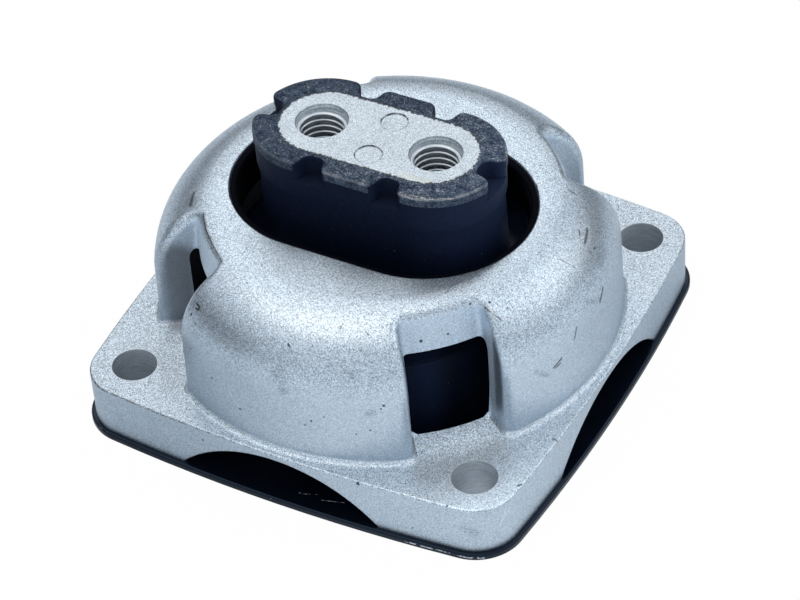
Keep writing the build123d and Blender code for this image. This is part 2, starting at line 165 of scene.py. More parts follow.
class Graph:
    """A node tree under construction, of a material or of the world."""

    def __init__(self, owner: bpy.types.Material | bpy.types.World) -> None:
        """Empty the owner's node tree and add its coordinates."""
        owner.use_nodes = True
        self.owner = owner
        self.tree = owner.node_tree
        self.tree.nodes.clear()
        self.coordinates = self.tree.nodes.new("ShaderNodeTexCoord")
        self.place = Wire(self, self.coordinates.outputs["Object"])
        self.normal = Wire(self, self.coordinates.outputs["Normal"])

    @classmethod
    def material(cls, name: str) -> "Graph":
        """A graph for a new material."""
        return cls(bpy.data.materials.new(name))

    def node(self, kind: str, settings: dict, inputs: dict, output: str | int = 0) -> Wire:
        """Add one node.

        Args:
            kind: The node's type name.
            settings: Properties that are set first.
            inputs: Socket name, identifier or number to a value or a Wire.
            output: The output socket to hand back.

        Returns:
            The chosen output.
        """
        made = self.tree.nodes.new(kind)
        for key, value in settings.items():
            setattr(made, key, value)
        for key, value in inputs.items():
            target = self.socket(made.inputs, key)
            if isinstance(value, Wire):
                self.tree.links.new(value.socket, target)
            else:
                target.default_value = value
        return Wire(self, self.socket(made.outputs, output))

    @staticmethod
    def socket(sockets: bpy.types.NodeInputs, key: str | int) -> bpy.types.NodeSocket:
        """Find a socket.

        Args:
            sockets: A node's inputs or outputs.
            key: The socket's number, identifier or name.

        Returns:
            The socket.
        """
        if isinstance(key, int):
            return sockets[key]
        by_identifier = [s for s in sockets if s.identifier == key]
        return by_identifier[0] if by_identifier else sockets[key]

    def math(self, operation: str, *values: "Wire | float") -> Wire:
        """One Math node on one to three values."""
        return self.node("ShaderNodeMath", {"operation": operation}, dict(enumerate(values)))

    def vector(self, operation: str, *values: "Wire | Point", output: str = "Vector") -> Wire:
        """One Vector Math node on one or two vectors."""
        inputs = dict(enumerate(values))
        return self.node("ShaderNodeVectorMath", {"operation": operation}, inputs, output)

    def dot(self, first: Wire, second: "Wire | Point") -> Wire:
        """Dot product of two vectors."""
        return self.vector("DOT_PRODUCT", first, second, output="Value")

    def length(self, vector: Wire) -> Wire:
        """Length of a vector."""
        return self.vector("LENGTH", vector, output="Value")

    def level(self, vector: Wire) -> Wire:
        """The vector without its upright part."""
        return self.vector("MULTIPLY", vector, (1.0, 1.0, 0.0))

    def most(self, *values: "Wire | float") -> Wire:
        """Find the largest value.

        Args:
            values: One or more numbers.

        Returns:
            The largest.
        """
        found = values[0]
        for value in values[1:]:
            found = self.math("MAXIMUM", found, value)
        return found

    def between(self, ends: Span, share: Wire) -> Wire:
        """The number at this share of the way from the first end to the second."""
        return ends[0] + (ends[1] - ends[0]) * share

    def axis(self, letter: str, vector: Wire | None = None) -> Wire:
        """One coordinate of the place, or of another vector."""
        return self.node("ShaderNodeSeparateXYZ", {}, {0: vector or self.place}, letter)

    def upward(self) -> Wire:
        """How far the surface looks up: 1 on a level top, 0 on a wall."""
        return self.axis("Z", self.normal)

    def reach(self) -> Wire:
        """Distance from the part's upright axis."""
        return self.length(self.level(self.place))

    def noise(self, kind: Noise) -> Wire:
        """Add a noise.

        Args:
            kind: Its scale, detail, roughness and stretch.

        Returns:
            The noise at this place.
        """
        place = self.vector("MULTIPLY", self.place, kind.stretch) if kind.stretch else self.place
        inputs = {"Vector": place, "Scale": kind.scale, "Detail": kind.detail, "Roughness": kind.roughness}
        return self.node("ShaderNodeTexNoise", {}, inputs)

    def step(self, value: Wire, low: "Wire | float", high: "Wire | float") -> Wire:
        """Smooth step: 0 where value is at low, 1 where it is at high."""
        inputs = {"Value": value, "From Min": low, "From Max": high, "To Min": 0.0, "To Max": 1.0}
        return self.node("ShaderNodeMapRange", {"interpolation_type": "SMOOTHSTEP"}, inputs)

    def fall(self, value: Wire, low: "Wire | float", high: "Wire | float") -> Wire:
        """Smooth step down: 1 where value is at low, 0 where it is at high."""
        return 1.0 - self.step(value, low, high)

    def blend(self, share: "Wire | float", first: "Wire | Colour", second: "Wire | Colour") -> Wire:
        """Mix two colours.

        Args:
            share: How much of the second colour there is.
            first: Colour at share 0.
            second: Colour at share 1.

        Returns:
            The mixed colour.
        """
        inputs = {"Factor_Float": share, "A_Color": self.rgba(first), "B_Color": self.rgba(second)}
        settings = {"data_type": "RGBA", "clamp_factor": True}
        return self.node("ShaderNodeMix", settings, inputs, "Result_Color")

    @staticmethod
    def rgba(colour: "Wire | Colour") -> "Wire | tuple[float, float, float, float]":
        """A plain colour with its alpha; a Wire stays as it is."""
        return colour if isinstance(colour, Wire) else (*colour, 1.0)

    def shade(self, colour: "Wire | Colour", strength: Wire) -> Wire:
        """Colour, or another vector, times a number."""
        return self.node("ShaderNodeVectorMath", {"operation": "SCALE"}, {0: colour, "Scale": strength})

    def stadium(self, half_straight: float) -> Wire:
        """Distance from the middle line of a stadium that lies along X.

        Args:
            half_straight: Half the length of the middle line.

        Returns:
            The distance.
        """
        x, y = self.axis("X"), self.axis("Y")
        past = self.most(abs(x) - half_straight, 0.0)
        return self.math("SQRT", past * past + y * y)

    def cells(self, scale: float, output: str) -> Wire:
        """One output of irregular cells, this many to a metre."""
        inputs = {"Vector": self.place, "Scale": scale, "Randomness": 1.0}
        return self.node("ShaderNodeTexVoronoi", {"feature": "F1"}, inputs, output)

    def specks(self, kind: Specks) -> Wire:
        """1 in the specks, 0 outside."""
        radius = kind.radius * kind.scale
        return self.fall(self.cells(kind.scale, "Distance"), SPECK_CORE * radius, radius)

    def facets(self, scale: float) -> Wire:
        """Random brightness from 0 to 1 of irregular cells, this many to a metre."""
        return self.axis("X", self.cells(scale, "Color"))

    def spot(self, mark: Mark, ragged: Wire) -> Wire:
        """A ragged round spot.

        Args:
            mark: Its place and width.
            ragged: Factor on distances, which frays the edge.

        Returns:
            1 inside the mark's width about its start, 0 outside.
        """
        away = self.length(self.vector("SUBTRACT", self.place, tuple(MM * v for v in mark.start)))
        return self.fall(away * ragged, SPOT_CORE * mark.width * MM, mark.width * MM)

    def stroke(self, mark: Mark, ragged: Wire) -> Wire:
        """A ragged straight stroke.

        Args:
            mark: Its start, end and width.
            ragged: Factor on distances, which frays the edge.

        Returns:
            1 on the line from start to end, 0 at the mark's width from it.
        """
        start = Vector(mark.start) * MM
        along = Vector(mark.end) * MM - start
        offset = self.vector("SUBTRACT", self.place, tuple(start))
        travelled = self.dot(offset, tuple(along / along.length_squared))
        share = self.node("ShaderNodeClamp", {}, {"Value": travelled})
        nearest = self.shade(tuple(along), share)
        away = self.length(self.vector("SUBTRACT", offset, nearest))
        return self.fall(away * ragged, STROKE_CORE * mark.width * MM, mark.width * MM)

    def marked(self, marks: tuple[Mark, ...], ragged: Wire) -> Wire:
        """Where any of the marks lies."""
        return self.most(*[self.stroke(m, ragged) if m.end else self.spot(m, ragged) for m in marks])

    def relief(self, height: Wire, depth: float) -> Wire:
        """Normal of a surface with this fine relief, depth metres from its lowest to its highest."""
        return self.node("ShaderNodeBump", {}, {"Height": height, "Strength": 1.0, "Distance": depth})

    def light_path(self, output: str) -> Wire:
        """1 for one kind of ray, 0 for the others."""
        return self.node("ShaderNodeLightPath", {}, {}, output)

    def finish(self, inputs: dict) -> bpy.types.Material:
        """Close the material with one surface shader that has these inputs."""
        return self.close(self.node("ShaderNodeBsdfPrincipled", {}, inputs))

    def close(self, surface: Wire) -> bpy.types.Material | bpy.types.World:
        """Link the surface to the output.

        Args:
            surface: The last shader.

        Returns:
            The material or world that the graph belongs to.
        """
        is_world = isinstance(self.owner, bpy.types.World)
        output = self.tree.nodes.new("ShaderNodeOutputWorld" if is_world else "ShaderNodeOutputMaterial")
        self.tree.links.new(surface.socket, output.inputs["Surface"])
        return self.owner


@dataclass(frozen=True)
class Texture:
    """Textures of the cast metal that its colour, roughness and relief share, each from 0 to 1."""

    grain: Wire
    lumps: Wire
    cloud: Wire
    facets: Wire


@dataclass(frozen=True)
class CageZones:
    """Masks of the cage's surface, each 1 in its zone and 0 outside.

    Struck is what looks up, low is what lies under the dome's foot, ledge is the flange's top,
    indoors is the floor of the pockets, walled is the wall of pockets and mouth, bore is the wall of
    the bolt holes and chamber is the inside, which is painted near black as shade.
    """

    struck: Wire
    low: Wire
    ledge: Wire
    indoors: Wire
    walled: Wire
    bore: Wire
    chamber: Wire


@dataclass(frozen=True)
class CastAluminium:
    """Shot-blasted cast aluminium: grainy where the shot struck squarely, smoother on the walls."""

    colour: Colour = (0.425, 0.492, 0.560)
    # Pits and crumbs, and the painted shade of the dome's inside
    pit_and_painted_shade: Colour = (0.010, 0.012, 0.018)
    scuff: Colour = (0.085, 0.075, 0.080)
    # Scratches, and the painted highlight on the bolt holes' upper edges
    scratch_and_painted_highlight: Colour = (0.75, 0.78, 0.80)
    grime: Colour = (0.130, 0.150, 0.180)
    drilled: Colour = (0.54, 0.60, 0.66)
    # Painted shade of a band on the left pocket's wall
    painted_pocket_shade_colour: Colour = (0.145, 0.150, 0.165)

    # Textures
    grain: Noise = Noise(6500.0, 1.0)
    lumps: Noise = Noise(3000.0)
    cloud: Noise = Noise(45.0, 4.0, 0.6)
    fray: Noise = Noise(1300.0, 3.0, 0.6)
    smear: Noise = Noise(700.0, 4.0, 0.7)
    chips: Noise = Noise(600.0, 3.0, 0.7)
    turning: Noise = Noise(260.0, 3.0, 0.6, (1.0, 1.0, 14.0))
    crumbs: Specks = Specks(330.0, 0.15 * MM)
    facet_scale: float = 7400.0

    # How much each texture changes the brightness
    wall_grain: float = 0.80
    top_grain: float = 1.45
    ledge_grain: float = 0.1
    indoor_grain: float = 0.9
    fine_grain: float = 0.25
    lump_gain: float = 0.12
    cloud_gain: float = 0.16
    turned_tone: Span = (0.4, 1.4)
    turned_grain: float = 0.3

    # Zones by how far they look up
    struck_up: Span = (0.1, 0.45)
    ledge_up: Span = (0.25, 0.6)
    level_up: Span = (0.9, 0.98)

    # Zones by height
    low_z: Span = span(1.1, 2.2, FLANGE_TOP)
    ledge_z: Span = span(-0.3, -0.1, FLANGE_TOP)
    foot_z: Span = span(0.1, 0.5, FLANGE_TOP)
    rim_start_z: Span = span(-0.5, -0.3, FLANGE_TOP)
    rim_end_z: Span = span(0.1, 0.3, FLANGE_TOP)
    bore_highlight_z: Span = span(-0.5, -0.25, FLANGE_TOP)
    chamber_z: Span = span(40.0, 44.0)

    # Zones by distance from an axis
    indoor_reach: Span = span(50.0, 60.0)
    wall_reach: Span = span(49.0, 51.5)
    chamber_reach: Span = span(52.0, 54.0)
    chamber_inward: Span = span(-25.0, -10.0)
    bore_reach: Span = span(0.02, 0.08, BOLT_HOLE_R)

    # Zones by how far they lie toward the front corner, and toward the left
    front: Point = (0.707, -0.707, 0.0)
    ahead: Span = span(60.0, 76.0)
    facing: Span = span(40.0, 58.0)
    aside: Span = span(5.0, 30.0)
    leftward: Span = span(2.0, 22.0)

    # Painted light and shade: brightness that the zones gain or lose
    foot_painted_highlight: float = 0.06
    wall_painted_light: float = 0.25
    facing_painted_light: float = 0.12
    ledge_painted_light: float = 0.06
    ahead_painted_light: float = 0.30
    aside_painted_shade: float = 0.14
    indoor_painted_light: float = 0.5
    chip_gain: float = 0.22
    rim_painted_shade: float = 0.16
    left_rim_painted_shade: float = 0.35
    least_tone: float = 0.05

    # Strength of each blemish, of the painted shade and of the painted highlight, and the parts of a texture
    # where it shows
    pit_share: float = 0.9
    scuff_share: float = 0.85
    scratch_share: float = 0.5
    grime_share: float = 0.55
    crumb_share: float = 0.7
    painted_pocket_shade_share: float = 0.7
    bore_highlight_share: float = 0.8
    chamber_painted_shade_share: float = 0.9
    chip_gaps: Span = (0.42, 0.58)
    grime_gaps: Span = (0.4, 0.6)
    crumb_gaps: Span = (0.5, 0.6)
    scuff_gaps: Span = (0.24, 0.44)
    mark_fray: Span = (0.35, 1.65)
    grime_fray: Span = (0.5, 1.5)
    painted_pocket_shade_fray: Span = (0.7, 1.3)

    # Roughness, metal and relief
    roughness: float = 0.34
    wall_roughness: float = 0.10
    pocket_roughness: float = 0.2
    lump_roughness: float = 0.2
    ledge_metal: float = 0.55
    indoor_dulling: float = 0.4
    chamber_dulling: float = 0.9
    struck_relief: Span = (0.35, 1.0)
    grain_relief: float = 0.6
    relief_depth: float = 0.042 * MM

    pits: tuple[Mark, ...] = marks(
        (2.2, -50.5, 44.5, 0.32, 2.7, -50.8, 44.1), (-18.3, -52.9, 27.8, 0.46),
        (-25.5, -49.7, 31.6, 0.32), (-10.0, -55.1, 23.1, 0.46), (9.2, -55.2, 27.0, 0.38),
        (12.4, -54.5, 29.0, 0.30), (7.6, -55.5, 25.4, 0.30), (19.3, -52.6, 24.6, 0.32),
        (22.4, -51.3, 25.9, 0.32), (25.5, -49.6, 33.4, 0.49), (24.9, -50.0, 32.5, 0.30),
        (27.6, -34.6, 41.4, 0.57), (32.3, -30.2, 41.7, 0.35), (35.6, -25.0, 47.8, 0.41),
        (-25.8, -47.1, 40.2, 0.54), (-24.0, -48.6, 39.2, 0.38),
        (-24.9, -45.7, 42.7, 0.30, -23.8, -46.3, 42.7), (-23.8, -46.3, 42.7, 0.41, -23.8, -46.8, 42.1),
        (-23.8, -46.8, 42.1, 0.35, -24.7, -46.5, 41.9), (-13.7, -40.6, 49.0, 0.27),
        (-13.0, -34.8, 49.7, 0.24), (-19.5, -58.1, 11.9, 0.32), (21.9, -58.0, 14.6, 0.68),
        (43.9, -56.2, 15.1, 0.34), (56.2, -43.2, 15.1, 0.34, 55.8, -43.9, 15.2),
        (52.5, -53.7, 14.5, 0.28), (34.9, -57.2, 5.0, 0.35), (50.9, 8.4, 43.4, 0.46),
        (43.2, -21.4, 46.4, 0.35), (39.5, -22.8, 47.9, 0.41),
    )
    scuffs: tuple[Mark, ...] = marks(
        (53.6, -15.8, 29.9, 0.50, 52.8, -18.3, 28.9), (53.5, -16.3, 28.7, 0.36, 53.0, -17.7, 28.4),
        (54.7, -9.8, 35.0, 0.36, 54.7, -11.1, 32.5), (55.1, 3.6, 36.3, 0.60, 55.6, 0.9, 34.5),
        (47.7, 11.3, 45.8, 0.50, 49.1, 7.0, 45.3), (46.8, 8.9, 46.8, 0.30, 47.5, 7.7, 46.4),
        (39.1, 19.0, 48.8, 0.24, 40.9, 19.0, 48.2), (30.1, -22.3, 49.7, 0.18, 29.8, -26.0, 49.6),
        (47.2, -2.2, 47.1, 0.20, 50.3, -1.0, 44.6), (38.8, -24.0, 47.1, 0.34, 42.9, -24.6, 45.5),
        (-35.4, -23.6, 48.9, 0.34, -31.9, -28.3, 48.9), (-31.9, -28.3, 48.9, 0.30, -27.5, -32.5, 48.9),
        (-27.5, -32.5, 48.9, 0.24, -22.7, -36.6, 48.9), (56.4, -27.0, 15.2, 0.34, 57.5, -27.2, 15.1),
        (12.5, -44.4, 47.7, 0.26, 12.6, -43.1, 48.2), (18.0, -42.6, 47.6, 0.20, 19.1, -43.0, 47.2),
        (-42.0, -16.9, 48.1, 0.55, -41.3, -19.1, 48.0), (-41.3, -19.1, 48.0, 0.75, -40.4, -21.2, 47.9),
    )
    scratches: tuple[Mark, ...] = marks(
        (-11.7, -53.7, 37.0, 0.16, -10.6, -54.3, 36.1), (-12.9, -54.4, 26.8, 0.16, -10.0, -55.1, 23.2),
        (-39.7, -11.7, 49.4, 0.16, -37.1, -12.2, 49.7), (8.5, -46.7, 46.9, 0.18, 14.3, -45.4, 46.8),
        (12.0, -43.4, 48.2, 0.16, 13.7, -43.7, 47.9), (41.9, 2.3, 49.2, 0.16, 43.5, 1.4, 48.8),
        (55.5, -49.6, 13.2, 0.20, 54.4, -51.5, 8.4), (55.9, -48.5, 12.6, 0.20, 55.0, -50.6, 10.0),
    )
    grimes: tuple[Mark, ...] = marks(
        (1.8, -54.6, 38.0, 2.8), (2.6, -55.6, 34.5, 1.8), (18.1, -50.3, 40.7, 1.3),
        (22.4, -51.2, 31.0, 1.6, 23.0, -50.9, 31.3), (50.8, -23.3, 31.0, 1.0, 52.1, -20.2, 27.9),
        (54.7, -3.7, 37.7, 0.9, 55.5, 1.0, 34.9), (52.8, 6.7, 41.1, 2.0, 52.2, 10.1, 41.2),
        (-41.0, -20.0, 47.9, 2.4), (48.3, -55.9, 9.0, 2.0, 50.2, -55.2, 7.9),
    )
    # Painted shade: a vertical band on a wall of the left pocket, from the flange up
    painted_pocket_shade: Mark = Mark((-42.2, -27.4, 17.0), 6.0, (-42.0, -27.2, 36.0))

    def bores(self, g: Graph) -> Wire:
        """Where the drilled walls of the bolt holes are.

        Args:
            g: The material's graph.

        Returns:
            The mask.
        """
        aside = g.vector("SUBTRACT", g.vector("ABSOLUTE", g.place), (BOLT_AT, BOLT_AT, 0.0))
        return g.fall(g.length(g.level(aside)), *self.bore_reach)

    def chamber(self, g: Graph) -> Wire:
        """Where the inside of the dome is painted dark as shade: its faces look back at the part's upright
        axis.

        Args:
            g: The material's graph.

        Returns:
            The mask.
        """
        outward = g.dot(g.normal, g.level(g.place))
        inner = g.fall(outward, *self.chamber_inward) * g.fall(g.reach(), *self.chamber_reach)
        return inner * g.fall(g.axis("Z"), *self.chamber_z)

    def zones(self, g: Graph) -> CageZones:
        """Tell the zones apart by the surface's place and the way it looks.

        Args:
            g: The material's graph.

        Returns:
            The masks.
        """
        upward, height, reach = g.upward(), g.axis("Z"), g.reach()
        struck = g.step(upward, *self.struck_up)
        low = g.fall(height, *self.low_z)
        ledge = low * g.step(upward, *self.ledge_up) * g.step(height, *self.ledge_z)
        indoors = ledge * g.step(upward, *self.level_up) * g.fall(reach, *self.indoor_reach)
        walled = g.fall(reach, *self.wall_reach) * (1.0 - struck)
        return CageZones(struck, low, ledge, indoors, walled, self.bores(g), self.chamber(g))

    def grained(self, t: Texture, z: CageZones) -> Wire:
        """Brightness of the grain, which is strongest where the shot struck squarely.

        Args:
            t: The textures.
            z: The zones.

        Returns:
            The brightness, about 1.
        """
        gain = self.wall_grain + (self.top_grain - self.wall_grain) * z.struck
        gain = gain * (1.0 + self.ledge_grain * z.ledge + self.indoor_grain * z.indoors)
        tone = 1.0 + gain * (t.facets - 0.5) + self.fine_grain * gain * (t.grain - 0.5)
        return tone + self.lump_gain * (t.lumps - 0.5) + self.cloud_gain * (t.cloud - 0.5)

    def rim(self, g: Graph) -> Wire:
        """Change of brightness on the flange's upper edge: lighter where chipped, with painted shade over
        the whole edge, darker to the left.

        Args:
            g: The material's graph.

        Returns:
            The change, 0 away from the edge.
        """
        height = g.axis("Z")
        rim = g.step(height, *self.rim_start_z) * g.fall(g.upward(), *self.level_up)
        rim = rim * g.fall(height, *self.rim_end_z)
        chipped = g.step(g.noise(self.chips), *self.chip_gaps)
        leftward = g.step(0.0 - g.axis("X"), *self.leftward)
        # The chips lighten the edge; the rest is painted shade, darker to the left
        return rim * (self.chip_gain * chipped - self.rim_painted_shade - self.left_rim_painted_shade * leftward)

    def tone(self, g: Graph, t: Texture, z: CageZones) -> Wire:
        """Brightness of the bare metal zone by zone, with painted light and shade on the dome's foot, the
        walls, the flange's top and the pocket floors.

        Args:
            g: The material's graph.
            t: The textures.
            z: The zones.

        Returns:
            The brightness.
        """
        onward = g.dot(g.place, self.front)
        foot = z.low * g.step(g.axis("Z"), *self.foot_z)
        facing = (1.0 - z.low) * (1.0 - z.struck) * g.step(onward, *self.facing)
        ahead = g.step(onward, *self.ahead)
        aside = g.fall(onward, *self.aside)
        tone = self.grained(t, z) + self.rim(g)
        # Painted light and shade: a painted highlight on the dome's foot, pocket and mouth walls and walls
        # toward the front corner painted lighter, and the flange's top lighter toward that corner and darker
        # to the sides
        tone = tone + self.foot_painted_highlight * foot + self.wall_painted_light * z.walled + self.facing_painted_light * facing
        tone = tone + z.ledge * (self.ledge_painted_light + self.ahead_painted_light * ahead - self.aside_painted_shade * aside)
        # Painted light: the pocket floors are painted lighter
        return g.most(tone + self.indoor_painted_light * z.indoors, self.least_tone)

    def with_bores(self, g: Graph, colour: Wire, t: Texture, z: CageZones) -> Wire:
        """Lay the turned metal of the bolt holes over a colour, and a painted highlight along their upper
        edges.

        Args:
            g: The material's graph.
            colour: The colour underneath.
            t: The textures.
            z: The zones.

        Returns:
            The new colour.
        """
        turned = g.between(self.turned_tone, g.noise(self.turning))
        turned = turned + self.turned_grain * (t.facets - 0.5)
        colour = g.blend(z.bore, colour, g.shade(self.drilled, turned))
        # Painted highlight: the upper edges of the bolt holes are painted pale
        lip = z.bore * g.step(g.axis("Z"), *self.bore_highlight_z)
        return g.blend(self.bore_highlight_share * lip, colour, self.scratch_and_painted_highlight)

    def with_blemishes(self, g: Graph, colour: Wire, t: Texture) -> Wire:
        """Lay grime, crumbs, scuffs, a stroke of painted shade on a wall of the left pocket, scratches and
        pits over a colour.

        Args:
            g: The material's graph.
            colour: The colour underneath.
            t: The textures.

        Returns:
            The new colour.
        """
        grime = g.marked(self.grimes, g.between(self.grime_fray, g.noise(self.smear)))
        grime = grime * g.step(t.lumps, *self.grime_gaps)
        colour = g.blend(self.grime_share * grime, colour, self.grime)
        crumbs = g.specks(self.crumbs) * g.step(t.cloud, *self.crumb_gaps)
        colour = g.blend(self.crumb_share * crumbs, colour, self.pit_and_painted_shade)
        ragged = g.between(self.mark_fray, g.noise(self.fray))
        worn = g.marked(self.scuffs, ragged) * g.step(t.lumps, *self.scuff_gaps)
        colour = g.blend(self.scuff_share * worn, colour, self.scuff)
        # Painted shade: a dark vertical band on a wall of the left pocket
        painted_pocket_shade_mask = g.stroke(self.painted_pocket_shade, g.between(self.painted_pocket_shade_fray, t.cloud))
        colour = g.blend(self.painted_pocket_shade_share * painted_pocket_shade_mask, colour, self.painted_pocket_shade_colour)
        colour = g.blend(self.scratch_share * g.marked(self.scratches, ragged), colour, self.scratch_and_painted_highlight)
        return g.blend(self.pit_share * g.marked(self.pits, ragged), colour, self.pit_and_painted_shade)

    def material(self) -> bpy.types.Material:
        """Build the node material.

        Returns:
            The material.
        """
        g = Graph.material("cast_aluminium")
        facets = g.facets(self.facet_scale)
        t = Texture(g.noise(self.grain), g.noise(self.lumps), g.noise(self.cloud), facets)
        z = self.zones(g)
        colour = self.with_bores(g, g.shade(self.colour, self.tone(g, t, z)), t, z)
        colour = self.with_blemishes(g, colour, t)
        # Painted shade: the inside of the dome is painted near black
        colour = g.blend(self.chamber_painted_shade_share * z.chamber, colour, self.pit_and_painted_shade)
        roughness = self.roughness + self.wall_roughness * (1.0 - z.struck)
        roughness = roughness + self.pocket_roughness * g.most(z.walled, z.indoors)
        roughness = roughness + self.lump_roughness * (t.lumps - 0.5)
        metal = 1.0 - (1.0 - self.ledge_metal) * g.most(z.ledge, z.bore)
        metal = metal - self.indoor_dulling * z.indoors - self.chamber_dulling * z.chamber
        bumps = g.between(self.struck_relief, z.struck) * (self.grain_relief * t.grain + t.lumps)
        normal = g.relief(bumps, self.relief_depth)
        return g.finish({"Base Color": colour, "Roughness": roughness, "Metallic": metal, "Normal": normal})


@dataclass(frozen=True)
class MilledAluminium:
    """Pale aluminium of the core, grainy on its face, with rubber crumbs and a stain along its edge."""

    colour: Colour = (0.435, 0.490, 0.540)
    thread_colour: Colour = (0.46, 0.50, 0.54)
    rubber: Colour = (0.010, 0.013, 0.020)
    stain: Colour = (0.55, 0.52, 0.36)
    roughness: float = 0.44
    lump_roughness: float = 0.25
    grain_relief: float = 0.5
    relief_depth: float = 0.036 * MM

    # Textures, and how much each changes the brightness
    grain: Noise = Noise(6500.0, 1.0)
    lumps: Noise = Noise(2800.0)
    fray: Noise = Noise(1000.0, 5.0, 0.75)
    cloud: Noise = Noise(110.0, 4.0, 0.6)
    facet_scale: float = 7400.0
    facet_gain: float = 1.05
    grain_gain: float = 0.2
    lump_gain: float = 0.1
    cloud_gain: float = 0.22

    # Ejector marks: paler floors inside ragged rings; faces below the top are painted paler as a painted
    # highlight
    sunk_z: Span = span(-0.6, -0.4, CORE_TOP)
    sunk_painted_highlight: float = 0.7
    ring_places: tuple[Point, ...] = ((0.8, 6.45, 66.2), (0.8, -6.45, 66.2))
    ring_r: float = 3.25 * MM
    ring_width: Span = span(0.08, 0.26)
    ring_gaps: Span = (0.42, 0.54)
    ring_share: float = 0.9

    # Rubber along the edge of the face
    edge_wander: float = 2.8 * MM
    edge: Span = span(-0.45, -0.3, CORE_HALF_W)
    near_edge: Span = (CORE_HALF_W - 2.2 * MM, CORE_HALF_W)
    crumbs: Specks = Specks(700.0, 0.22 * MM)
    crumb_gaps: Span = (0.5, 0.56)
    specks: Specks = Specks(300.0, 0.14 * MM)
    speck_share: float = 0.7

    # Stain
    stains: tuple[Mark, ...] = marks((11.0, -9.9, 66.2, 1.2, 18.0, -9.6, 66.2))
    stain_fray: Span = (0.6, 1.4)
    stain_gaps: Span = (0.3, 0.6)
    stain_share: float = 0.35

    # Threads
    streak: Noise = Noise(900.0, 3.0, 0.5, (1.0, 1.0, 5.0))
    streak_tone: Span = (0.7, 1.3)
    streak_roughness: Span = (0.3, 0.5)
    streak_depth: float = 0.02 * MM

    def rings(self, g: Graph) -> Wire:
        """Thin rings of the two ejector marks.

        Args:
            g: The material's graph.

        Returns:
            The mask.
        """
        found = []
        for place in self.ring_places:
            away = g.length(g.vector("SUBTRACT", g.place, tuple(MM * v for v in place)))
            found.append(g.fall(abs(away - self.ring_r), *self.ring_width))
        return g.most(*found)

    def dirt(self, g: Graph, ragged: Wire) -> Wire:
        """Rubber on the face: ragged along its edge, in crumbs near it, in the rings and in specks.

        Args:
            g: The material's graph.
            ragged: Noise that frays the edge and breaks up crumbs and rings.

        Returns:
            The share of rubber.
        """
        away = g.stadium(CORE_HALF_STRAIGHT)
        edge = g.step(away + self.edge_wander * (ragged - 0.5), *self.edge)
        crumbs = g.specks(self.crumbs) * g.step(ragged, *self.crumb_gaps) * g.step(away, *self.near_edge)
        rings = self.rings(g) * g.step(ragged, *self.ring_gaps)
        return g.most(edge, crumbs, self.ring_share * rings, self.speck_share * g.specks(self.specks))

    def material(self) -> bpy.types.Material:
        """Build the face's node material.

        Returns:
            The material.
        """
        g = Graph.material("core_aluminium")
        grain, lumps, ragged = g.noise(self.grain), g.noise(self.lumps), g.noise(self.fray)
        tone = 1.0 + self.facet_gain * (g.facets(self.facet_scale) - 0.5) + self.grain_gain * (grain - 0.5)
        tone = tone + self.lump_gain * (lumps - 0.5) + self.cloud_gain * (g.noise(self.cloud) - 0.5)
        sunk_highlight_mask = g.fall(g.axis("Z"), *self.sunk_z)
        # Painted highlight: faces below the top are painted paler
        colour = g.shade(self.colour, tone * (1.0 + self.sunk_painted_highlight * sunk_highlight_mask))
        stain = g.marked(self.stains, g.between(self.stain_fray, ragged)) * g.step(lumps, *self.stain_gaps)
        colour = g.blend(self.stain_share * stain, colour, self.stain)
        dirt = self.dirt(g, ragged)
        colour = g.blend(dirt, colour, self.rubber)
        roughness = self.roughness + self.lump_roughness * (lumps - 0.5)
        normal = g.relief(self.grain_relief * grain + lumps, self.relief_depth)
        metal = 1.0 - dirt
        return g.finish({"Base Color": colour, "Roughness": roughness, "Metallic": metal, "Normal": normal})

    def thread_material(self) -> bpy.types.Material:
        """Build the node material of the cut threads.

        Returns:
            The material.
        """
        g = Graph.material("thread_aluminium")
        streak = g.noise(self.streak)
        colour = g.shade(self.thread_colour, g.between(self.streak_tone, streak))
        roughness = g.between(self.streak_roughness, streak)
        normal = g.relief(streak, self.streak_depth)
        return g.finish({"Base Color": colour, "Roughness": roughness, "Metallic": 1.0, "Normal": normal})


@dataclass(frozen=True)
class LipZones:
    """Masks of the spring's lip: its top, outer band, the edge between them, what is under, and its wear."""

    top: Wire
    band: Wire
    rim: Wire
    under: Wire
    worn: Wire


